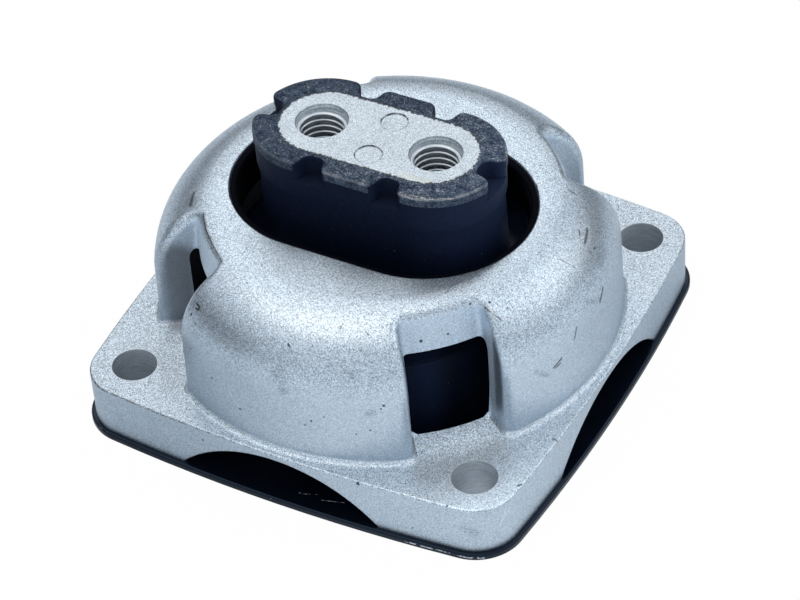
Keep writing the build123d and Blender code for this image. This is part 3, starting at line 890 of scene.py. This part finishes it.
@dataclass(frozen=True)
class MouldedRubber:
    """Near-black moulded rubber with a blue cast, dusty and speckled on the trimmed lip."""

    colour: Colour = (0.0062, 0.0100, 0.0235)
    # Painted shade: deep for the body's shaded middle, black for its darkest shade, its crease and the
    # shadow under the lip
    deep: Colour = (0.0024, 0.0045, 0.0135)
    black: Colour = (0.0006, 0.0010, 0.0024)
    dust: Colour = (0.058, 0.077, 0.105)
    # Dust and a painted highlight on the lip's edge
    dust_and_highlight: Colour = (0.17, 0.185, 0.21)
    chalk: Colour = (0.40, 0.39, 0.37)
    tint: Colour = (0.55, 0.75, 1.0)
    specular: float = 0.06
    roughness: float = 0.5
    top_roughness: float = 0.3
    cloud_roughness: float = 0.15
    fine_relief: float = 0.5
    relief_depth: float = 0.08 * MM

    # Textures
    fine: Noise = Noise(3300.0, 2.0, 0.7)
    cloud: Noise = Noise(200.0, 4.0, 0.65)
    patches: Noise = Noise(420.0, 4.0, 0.7)
    facet_scale: float = 3600.0

    # Body, with painted light and shade: deep blue shade between its two lighter ends, painted shade
    # blackest at the front right, a painted sheen to the right, and one dark crease of painted shade
    painted_shade_fade_z: Span = span(38.0, 60.0)
    low_z: Span = span(31.0, 36.0)
    low_painted_light_share: float = 0.55
    painted_shade_side: Span = span(-5.0, 6.0)
    painted_shade_side_share: float = 0.8
    painted_sheen_side: Span = span(12.0, 30.0)
    painted_sheen_gain: float = 0.8
    facet_gain: float = 0.5
    crease_shade_z: float = 29.8 * MM
    crease_shade_wander: float = 0.6 * MM
    crease_shade_width: Span = span(0.08, 0.3)
    crease_shade_share: float = 0.75

    # Lip: its top, its outer band, the edge between them and the shadow under it
    worn_turn: float = 0.5
    worn_side: Span = span(-12.0, 16.0)
    top_z: Span = span(-0.35, -0.1, CORE_TOP)
    top_up: Span = (0.35, 0.8)
    outer_reach: Span = span(-0.25, -0.1, LIP_HALF_W)
    band_z: Span = (LIP_BOTTOM, LIP_BOTTOM + 0.15 * MM)
    rim_z: Span = span(-0.75, -0.5, CORE_TOP)
    rim_reach: Span = span(-0.7, -0.4, LIP_HALF_W)
    rim_level_up: Span = (0.88, 0.99)
    rim_wall_up: Span = (0.1, 0.4)
    under_drop: float = 0.25 * MM
    under_width: Span = span(0.1, 0.35)
    under_share: float = 0.8

    # Dust on the lip, by its wear, and a painted highlight mixed with dust on the edge between top and band
    speckle_level: float = 0.66
    speckle_facets: float = 0.8
    speckle_fine: float = 1.2
    speckle_patches: float = 1.8
    patch_middle: float = 0.48
    speckle_least: float = 0.04
    top_dust: Span = (0.58, 0.88)
    band_dust: Span = (0.5, 0.8)
    rim_dust_and_highlight: Span = (0.25, 1.0)
    rim_gaps: Span = (0.4, 0.56)
    dust_tone: Span = (0.8, 1.5)

    # Grit, scrapes and chalk
    grit_from: Span = (0.96, 0.82)
    grit_gaps: Span = (0.42, 0.56)
    grit_share: float = 0.55
    scrape_fray: Span = (0.5, 1.5)
    scrape_gaps: Span = (0.3, 0.7)
    scrape_share: float = 0.8
    coarse_chalk: Specks = Specks(260.0, 0.15 * MM)
    fine_chalk: Specks = Specks(520.0, 0.11 * MM)
    fine_chalk_level: float = 0.6
    chalk_gaps: Span = (0.45, 0.6)
    chalk_share: float = 0.6
    scrapes: tuple[Mark, ...] = marks(
        (13.4, -15.7, 66.0, 0.30, 20.0, -15.2, 66.2), (20.1, -15.5, 66.1, 0.22, 26.1, -12.3, 65.9),
        (15.5, -16.2, 66.0, 0.26, 18.2, -16.2, 65.8), (4.2, -15.5, 66.2, 0.34, 5.0, -15.5, 66.2),
    )

    def body(self, g: Graph, cloud: Wire, facets: Wire) -> Wire:
        """Colour of the bare rubber, with painted light and shade over it.

        Args:
            g: The material's graph.
            cloud: Broad noise.
            facets: Grain.

        Returns:
            The colour.
        """
        x, y, height = g.axis("X"), g.axis("Y"), g.axis("Z")
        low = g.fall(height, *self.low_z)
        # Painted light and shade: a shaded middle, lighter ends, the darkest shade at the front right, a
        # sheen to the right and a dark crease
        body = g.blend(g.step(height, *self.painted_shade_fade_z), self.deep, self.colour)
        body = g.blend(self.low_painted_light_share * low, body, self.colour)
        body = g.blend(self.painted_shade_side_share * low * g.step(x + y, *self.painted_shade_side), body, self.black)
        light = self.painted_sheen_gain * g.step(x, *self.painted_sheen_side)
        body = g.shade(body, 1.0 + light + self.facet_gain * (facets - 0.5))
        off_crease = abs(height - self.crease_shade_z + self.crease_shade_wander * (cloud - 0.5))
        return g.blend(self.crease_shade_share * g.fall(off_crease, *self.crease_shade_width), body, self.black)

    def lip(self, g: Graph) -> LipZones:
        """Tell the parts of the lip apart.

        Args:
            g: The material's graph.

        Returns:
            The masks.
        """
        upward, height, away = g.upward(), g.axis("Z"), g.stadium(SLEEVE_HALF_STRAIGHT)
        outer = g.step(away, *self.outer_reach)
        rim = g.step(height, *self.rim_z) * g.step(away, *self.rim_reach)
        rim = rim * g.fall(upward, *self.rim_level_up) * g.step(upward, *self.rim_wall_up)
        return LipZones(
            top=g.step(height, *self.top_z) * g.step(upward, *self.top_up),
            band=g.step(height, *self.band_z) * outer,
            rim=rim,
            under=g.fall(abs(height - LIP_BOTTOM + self.under_drop), *self.under_width) * outer,
            worn=g.step(g.axis("X") - self.worn_turn * g.axis("Y"), *self.worn_side),
        )

    def dusted(self, g: Graph, colour: Wire, lip: LipZones, patches: Wire, facets: Wire) -> Wire:
        """Lay the lip's dust over a colour, dust with a painted highlight on its edge, and the painted
        shadow under the lip.

        Args:
            g: The material's graph.
            colour: The colour underneath.
            lip: The lip's parts.
            patches: Noise of the patches.
            facets: Grain.

        Returns:
            The new colour.
        """
        speckle = self.speckle_level + self.speckle_facets * (facets - 0.5)
        speckle = speckle + self.speckle_fine * (g.noise(self.fine) - 0.5)
        speckle = g.most(speckle + self.speckle_patches * (patches - self.patch_middle), self.speckle_least)
        on_top = g.between(self.top_dust, lip.worn) * lip.top
        dusty = g.most(on_top, g.between(self.band_dust, lip.worn) * lip.band) * speckle
        colour = g.blend(dusty, colour, g.shade(self.dust, g.between(self.dust_tone, speckle)))
        # Painted highlight mixed with dust: the edge between top and band is painted lighter
        rim_dust_and_highlight_mask = lip.rim * g.between(self.rim_dust_and_highlight, lip.worn * g.step(patches, *self.rim_gaps))
        colour = g.blend(rim_dust_and_highlight_mask, colour, self.dust_and_highlight)
        return g.blend(self.under_share * lip.under, colour, self.black)

    def chalked(self, g: Graph, colour: Wire, lip: LipZones, patches: Wire, facets: Wire) -> Wire:
        """Lay grit and scrapes over a colour.

        Args:
            g: The material's graph.
            colour: The colour underneath.
            lip: The lip's parts.
            patches: Noise of the patches.
            facets: Grain.

        Returns:
            The new colour.
        """
        grit = g.step(facets, g.between(self.grit_from, lip.worn), 1.0) * g.step(patches, *self.grit_gaps)
        colour = g.blend(self.grit_share * lip.top * grit, colour, self.chalk)
        scraped = g.marked(self.scrapes, g.between(self.scrape_fray, patches))
        scraped = scraped * g.step(facets, *self.scrape_gaps)
        return g.blend(self.scrape_share * scraped, colour, self.chalk)

    def material(self) -> bpy.types.Material:
        """Build the node material of the spring.

        Returns:
            The material.
        """
        g = Graph.material("spring_rubber")
        cloud, patches, facets = g.noise(self.cloud), g.noise(self.patches), g.facets(self.facet_scale)
        lip = self.lip(g)
        colour = self.dusted(g, self.body(g, cloud, facets), lip, patches, facets)
        colour = self.chalked(g, colour, lip, patches, facets)
        chalk = g.specks(self.coarse_chalk) + self.fine_chalk_level * g.specks(self.fine_chalk)
        colour = g.blend(self.chalk_share * chalk * g.step(cloud, *self.chalk_gaps), colour, self.chalk)
        roughness = self.roughness + self.top_roughness * lip.top + self.cloud_roughness * (cloud - 0.5)
        normal = g.relief(g.noise(self.fine) * self.fine_relief + cloud, self.relief_depth)
        return g.finish({"Base Color": colour, "Roughness": roughness, "Specular IOR Level": self.specular,
                         "Specular Tint": g.rgba(self.tint), "Normal": normal})


@dataclass(frozen=True)
class LinerRubber:
    """Black rubber on the mouth's wall, lighter near its upper edge at the right end."""

    colour: Colour = (0.0008, 0.0012, 0.0034)
    # Lighter colour near the upper edge at the right end
    dust: Colour = (0.030, 0.036, 0.055)
    roughness: float = 0.7
    specular: float = 0.03
    relief_depth: float = 0.12 * MM
    fine: Noise = Noise(1500.0, 3.0, 0.6)
    lighter_z: Span = span(-6.0, -1.0, DOME_TOP)
    lighter_end: Span = span(24.0, 36.0)
    wall_up: Span = (0.1, 0.4)
    lighter_share: Span = (0.2, 1.6)

    def material(self) -> bpy.types.Material:
        """Build the node material of the liner.

        Returns:
            The material.
        """
        g = Graph.material("liner_rubber")
        fine = g.noise(self.fine)
        high = g.step(g.axis("Z"), *self.lighter_z)
        at_end = g.step(g.axis("X"), *self.lighter_end)
        inside = g.fall(g.upward(), *self.wall_up)
        share = high * at_end * inside * g.between(self.lighter_share, fine)
        colour = g.blend(share, self.colour, self.dust)
        return g.finish({"Base Color": colour, "Roughness": self.roughness,
                         "Specular IOR Level": self.specular, "Normal": g.relief(fine, self.relief_depth)})


@dataclass(frozen=True)
class BlackCoat:
    """Glossy black coating of the pressed plate, with tiny chips of bare metal along its edge, and painted
    highlights: short pale strokes along its edge and on its top under the arches.
    """

    colour: Colour = (0.0014, 0.0024, 0.0060)
    # Chips of bare metal, and the painted highlight strokes
    chip_and_painted_glint: Colour = (0.60, 0.63, 0.68)
    tint: Colour = (0.45, 0.68, 1.0)
    specular: float = 0.30
    roughness: float = 0.26
    cloud_roughness: float = 0.3
    relief_depth: float = 0.04 * MM
    cloud: Noise = Noise(90.0, 4.0)
    grain: Noise = Noise(700.0)
    breaks: Noise = Noise(1200.0)
    chips: Specks = Specks(420.0, 0.2 * MM)
    edge_up: Span = (0.3, 0.7)
    chip_gaps: Span = (0.5, 0.56)
    chip_share: float = 0.4
    glint_fray: Span = (0.4, 1.6)
    glint_gaps: Span = (0.42, 0.52)
    painted_glint_share: float = 0.9
    # Painted highlights: pale strokes along the edge and on the top under the arches
    painted_glints: tuple[Mark, ...] = marks(
        (33.5, -58.5, 1.1, 0.26, 36.0, -58.3, 1.2), (37.5, -58.2, 1.2, 0.26, 40.2, -58.0, 1.2),
        (41.2, -57.9, 1.3, 0.18, 45.1, -57.6, 1.3), (47.1, -57.4, 1.2, 0.34, 50.0, -56.6, 1.1),
        (51.1, -56.1, 1.1, 0.32, 52.2, -55.4, 0.9), (-50.9, -55.9, 1.6, 0.30, -48.0, -56.8, 1.6),
        (2.8, -55.9, 2.0, 0.07, 4.5, -55.6, 2.0), (5.1, -55.6, 2.0, 0.06, 8.4, -54.3, 2.0),
        (9.6, -55.7, 2.0, 0.06, 15.4, -54.1, 2.0),
    )

    def material(self) -> bpy.types.Material:
        """Build the node material.

        Returns:
            The material.
        """
        g = Graph.material("coated_steel")
        cloud, grain = g.noise(self.cloud), g.noise(self.grain)
        chips = g.specks(self.chips) * g.step(cloud, *self.chip_gaps) * g.fall(g.upward(), *self.edge_up)
        # Painted highlights as pale strokes, broken by noise
        painted_glint_mask = g.marked(self.painted_glints, g.between(self.glint_fray, grain))
        painted_glint_mask = painted_glint_mask * g.step(g.noise(self.breaks), *self.glint_gaps)
        colour = g.blend(g.most(self.chip_share * chips, self.painted_glint_share * painted_glint_mask), self.colour, self.chip_and_painted_glint)
        roughness = self.roughness + self.cloud_roughness * (cloud - 0.5)
        normal = g.relief(grain, self.relief_depth)
        return g.finish({"Base Color": colour, "Roughness": roughness, "Specular IOR Level": self.specular,
                         "Specular Tint": g.rgba(self.tint), "Normal": normal})


def add_object(name: str, data: bpy.types.ID) -> bpy.types.Object:
    """Put a new object in the scene.

    Args:
        name: Its name.
        data: Its mesh, light or camera.

    Returns:
        The object.
    """
    made = bpy.data.objects.new(name, data)
    bpy.context.scene.collection.objects.link(made)
    return made


def merge_doubles(mesh: bpy.types.Mesh, turn_outward: bool) -> None:
    """Merge a mesh's doubled vertices.

    Args:
        mesh: The mesh.
        turn_outward: True where its faces are turned outward too.
    """
    work = bmesh.new()
    work.from_mesh(mesh)
    bmesh.ops.remove_doubles(work, verts=work.verts, dist=MERGE_DISTANCE)
    if turn_outward:
        bmesh.ops.recalc_face_normals(work, faces=work.faces)
    work.to_mesh(mesh)
    work.free()


def shade_smooth(mesh: bpy.types.Mesh) -> None:
    """Mark every face of a mesh smooth."""
    mesh.polygons.foreach_set("use_smooth", np.ones(len(mesh.polygons), dtype=bool))


def mesh_from_grid(name: str, points: np.ndarray, loop_columns: bool = False) -> bpy.types.Object:
    """Skin a grid of points with quads.

    Args:
        name: Name of the new object.
        points: Array of rows by columns by 3.
        loop_columns: True where the last column joins the first.

    Returns:
        The object, smooth and with its doubles merged.
    """
    rows, columns = points.shape[:2]
    down = np.arange(rows - 1)[:, None]
    across = np.arange(columns if loop_columns else columns - 1)[None, :]
    below, beside = down + 1, (across + 1) % columns
    corners = [(down, across), (down, beside), (below, beside), (below, across)]
    numbers = [np.broadcast_to(row * columns + column, (down.size, across.size)) for row, column in corners]
    mesh = bpy.data.meshes.new(name)
    quads = np.stack(numbers, axis=-1).reshape(-1, 4)
    mesh.from_pydata(points.reshape(-1, 3).tolist(), [], quads.tolist())
    merge_doubles(mesh, turn_outward=True)
    shade_smooth(mesh)
    return add_object(name, mesh)


def smooth_copy(node: str, name: str, sharp_degrees: float = 28.0) -> bpy.types.Object:
    """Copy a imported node's mesh, merge its triangles and shade its rounds smooth.

    Args:
        node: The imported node.
        name: Name of the new object.
        sharp_degrees: Edges that turn more than this stay sharp.

    Returns:
        The new object.
    """
    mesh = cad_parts[node].data.copy()
    mesh.name = name
    mesh.materials.clear()
    merge_doubles(mesh, turn_outward=False)
    for layer in list(mesh.attributes):
        if layer.name in ("custom_normal", "sharp_face"):
            mesh.attributes.remove(layer)
    shade_smooth(mesh)
    mesh.set_sharp_from_angle(angle=math.radians(sharp_degrees))
    made = add_object(name, mesh)
    weigh = made.modifiers.new("weigh_normals", "WEIGHTED_NORMAL")
    weigh.keep_sharp = True
    weigh.weight = FACE_WEIGHT
    return made


def seat(piece: bpy.types.Object, finish: bpy.types.Material, node: str | None = None) -> None:
    """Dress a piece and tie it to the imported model.

    Args:
        piece: The piece.
        finish: Its material.
        node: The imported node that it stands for, or None.
    """
    piece.data.materials.clear()
    piece.data.materials.append(finish)
    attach(piece, BODY)
    if node:
        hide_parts(node)
    log.info("%s: %d faces", piece.name, len(piece.data.polygons))


@dataclass
class Cage:
    """The cast cage."""

    finish: CastAluminium = field(default_factory=CastAluminium)

    def build(self) -> None:
        """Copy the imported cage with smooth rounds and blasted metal."""
        seat(smooth_copy("housing", "cast_cage"), self.finish.material(), "housing")


@dataclass
class Thread:
    """A right-handed inner thread as one helical ridge on the wall of a hole."""

    centre_x: float
    wall_r: float = 6.0 * MM
    crest_r: float = 5.05 * MM
    pitch: float = 1.75 * MM
    top: float = 65.0 * MM
    bottom: float = 45.0 * MM
    steps_per_turn: int = 72
    run_out_turns: float = 0.5

    # Half widths of the tooth as shares of the pitch, its blunted corners and its depth in the wall
    root_share: float = 0.46
    crest_share: float = 0.09
    blunt_width: float = 1.6
    blunt_height: float = 0.93
    bedding: float = 0.03 * MM

    def points(self) -> np.ndarray:
        """Points of the ridge.

        The ridge's section is a blunt tooth with a wide root on the wall. At turn t it sits at
        height top - pitch * t and at the angle -t, so that it falls clockwise. The section shrinks to
        a point over the first and last half turn.

        Returns:
            Array of turns by section by 3.
        """
        turns = (self.top - self.bottom) / self.pitch
        turn = np.linspace(0.0, turns, int(turns * self.steps_per_turn))
        fade = np.clip(np.minimum(turn, turns - turn) / self.run_out_turns, 0.0, 1.0)
        root, crest = self.root_share * self.pitch, self.crest_share * self.pitch
        blunt = crest * self.blunt_width
        along = np.array([-root, -blunt, -crest, crest, blunt, root])
        height = self.wall_r - self.crest_r
        shoulder = height * self.blunt_height
        rise = np.array([-self.bedding, shoulder, height, height, shoulder, -self.bedding])
        radius = self.wall_r - rise[None, :] * fade[:, None]
        z = self.top - self.pitch * turn[:, None] + along[None, :] * fade[:, None]
        angle = 2 * math.pi * turn[:, None] * np.ones_like(radius)
        return np.stack([self.centre_x + radius * np.cos(angle), -radius * np.sin(angle), z], axis=-1)

    def build(self, name: str, material: bpy.types.Material) -> None:
        """Skin the ridge and seat it in the core."""
        seat(mesh_from_grid(name, self.points(), loop_columns=True), material)


@dataclass
class Core:
    """The aluminium core with its two threads."""

    finish: MilledAluminium = field(default_factory=MilledAluminium)
    tap_at: float = 15.0 * MM

    def build(self) -> None:
        """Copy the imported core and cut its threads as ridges."""
        seat(smooth_copy("core", "core_post"), self.finish.material(), "core")
        cut = self.finish.thread_material()
        for side, name in ((-1, "thread_left"), (1, "thread_right")):
            Thread(side * self.tap_at).build(name, cut)


@dataclass
class Spring:
    """The rubber spring."""

    finish: MouldedRubber = field(default_factory=MouldedRubber)

    def build(self) -> None:
        """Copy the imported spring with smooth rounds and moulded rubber."""
        body = smooth_copy("rubber_spring", "rubber_body")
        seat(body, self.finish.material(), "rubber_spring")


@dataclass
class Liner:
    """The rubber liner in the mouth."""

    finish: LinerRubber = field(default_factory=LinerRubber)

    def build(self) -> None:
        """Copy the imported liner."""
        sleeve = smooth_copy("mouth_liner", "mouth_sleeve")
        seat(sleeve, self.finish.material(), "mouth_liner")


@dataclass
class Plate:
    """The black plate under the cage."""

    finish: BlackCoat = field(default_factory=BlackCoat)

    def build(self) -> None:
        """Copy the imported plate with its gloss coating."""
        plate = smooth_copy("base_plate", "coated_plate")
        seat(plate, self.finish.material(), "base_plate")


@dataclass(frozen=True)
class Lamp:
    """One square soft lamp, aimed at the middle of the part, by its place, side and brightness."""

    name: str
    place: Point
    size: float
    radiance: float
    colour: Colour = WHITE

    def build(self, aim: Vector) -> None:
        """Make the lamp: its power is radiance times area times pi.

        Args:
            aim: The point that it faces.
        """
        light = bpy.data.lights.new(self.name, "AREA")
        light.size = self.size
        light.energy = math.pi * self.size**2 * self.radiance
        light.color = self.colour
        made = add_object(self.name, light)
        made.location = self.place
        made.rotation_euler = (aim - Vector(self.place)).to_track_quat("-Z", "Y").to_euler()


@dataclass
class Studio:
    """Floor, lamps, world and camera."""

    # Camera: its direction in degrees, its distance and lens, and how far its view is moved
    azimuth: float = 30.83
    elevation: float = 41.92
    roll: float = -4.53
    distance: float = 768.72 * MM
    focal_pixels: float = 3197.9
    picture_width: float = 800.0
    sensor_width: float = 36.0
    aim: Point = (0.0, 0.0, 25.0 * MM)
    shift_right: float = 2.57 * MM
    shift_up: float = -7.23 * MM

    # Floor: its mirrored glow grows from far to near between two distances toward the front
    floor_half: float = 3.0
    floor_drop: float = 0.05 * MM
    floor_colour: Colour = (0.62, 0.66, 0.70)
    floor_glow: Colour = (1.07, 1.14, 1.20)
    floor_seen: float = 0.985
    floor_mirrored: Span = (0.05, 1.0)
    floor_front: Point = (0.72, -0.694, 0.0)
    floor_rise: Span = span(12.0, 88.0)

    # Sky: its level rises from the horizon up, and all of it is lighter in front
    sky: Colour = (0.95, 1.0, 1.05)
    sky_level: Span = (0.11, 1.0)
    sky_rise: Span = (0.18, 0.60)
    sky_front: Point = (0.74, -0.67, 0.0)
    sky_front_rise: Span = (-0.08, 0.42)
    sky_front_fill: float = 0.86

    lamps: tuple[Lamp, ...] = (
        Lamp("overhead", (-0.25, -0.14, 1.15), 1.0, 1.29, (1.0, 0.912, 0.805)),
        Lamp("back_left", (-0.50, 0.80, 0.85), 0.9, 0.78, (1.0, 0.960, 0.91)),
        Lamp("back_right", (0.72, 0.55, 0.80), 0.9, 0.95, (1.0, 0.960, 0.91)),
    )

    def axes(self) -> tuple[Vector, Vector, Vector]:
        """Directions of the camera, with its roll.

        Returns:
            Right, up and backward.
        """
        a, e, r = (math.radians(v) for v in (self.azimuth, self.elevation, self.roll))
        back = Vector((math.sin(a) * math.cos(e), -math.cos(a) * math.cos(e), math.sin(e)))
        right = Vector((math.cos(a), math.sin(a), 0.0))
        up = back.cross(right)
        c, s = math.cos(r), math.sin(r)
        return c * right + s * up, c * up - s * right, back

    def camera(self) -> None:
        """Place the camera at the photograph's viewpoint."""
        right, up, back = self.axes()
        eye = Vector(self.aim) + right * self.shift_right + up * self.shift_up + back * self.distance
        lens = bpy.data.cameras.new("photo_camera")
        lens.sensor_width = self.sensor_width
        lens.lens = self.sensor_width * self.focal_pixels / self.picture_width
        made = add_object("photo_camera", lens)
        turn = Matrix((right, up, back)).transposed()
        made.matrix_world = Matrix.Translation(eye) @ turn.to_4x4()
        bpy.context.scene.camera = made

    def paper(self) -> bpy.types.Material:
        """Build the floor's material, which glows to the camera and to mirrored rays.

        Returns:
            The material.
        """
        g = Graph.material("floor_paper")
        seen = g.light_path("Is Camera Ray")
        mirrored = g.most(g.light_path("Is Glossy Ray"), g.light_path("Is Transmission Ray"))
        white = g.blend(seen, self.floor_glow, WHITE)
        glow = g.node("ShaderNodeEmission", {}, {"Color": white, "Strength": 1.0})
        paper = g.node("ShaderNodeBsdfDiffuse", {}, {"Color": g.rgba(self.floor_colour)})
        rise = g.step(g.dot(g.place, self.floor_front), *self.floor_rise)
        share = self.floor_seen * seen + g.between(self.floor_mirrored, rise) * mirrored
        return g.close(g.node("ShaderNodeMixShader", {}, {0: share, 1: paper, 2: glow}))

    def floor(self) -> None:
        """Lay the pale floor just under the plate; the camera sees it white but for the part's shadow."""
        ends = (-self.floor_half, self.floor_half)
        corners = [[(x, y, -self.floor_drop) for x in ends] for y in ends]
        made = mesh_from_grid("floor", np.array(corners))
        made.data.materials.append(self.paper())

    def world(self) -> None:
        """Surround the part with a pale sky, dimmer near the horizon and less so in front."""
        g = Graph(bpy.data.worlds.new("studio_white"))
        toward = Wire(g, g.coordinates.outputs["Generated"])
        level = g.between(self.sky_level, g.step(g.axis("Z", toward), *self.sky_rise))
        in_front = g.step(g.dot(toward, self.sky_front), *self.sky_front_rise)
        level = g.math("MINIMUM", level + self.sky_front_fill * in_front, 1.0)
        light = g.blend(g.light_path("Is Camera Ray"), g.shade(self.sky, level), WHITE)
        g.close(g.node("ShaderNodeBackground", {}, {"Color": light, "Strength": 1.0}))
        bpy.context.scene.world = g.owner

    def build(self) -> None:
        """Set up the whole studio."""
        bpy.context.scene.view_settings.view_transform = "Standard"
        self.floor()
        self.world()
        for lamp in self.lamps:
            lamp.build(Vector(self.aim))
        self.camera()


def main() -> None:
    """Build every piece in order, then the studio, and note the sizes."""
    logging.basicConfig(level=logging.INFO, format="%(name)s %(message)s")
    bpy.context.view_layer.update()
    for part in (Cage(), Core(), Spring(), Liner(), Plate()):
        part.build()
    Studio().build()


if __name__ == "__main__":
    main()
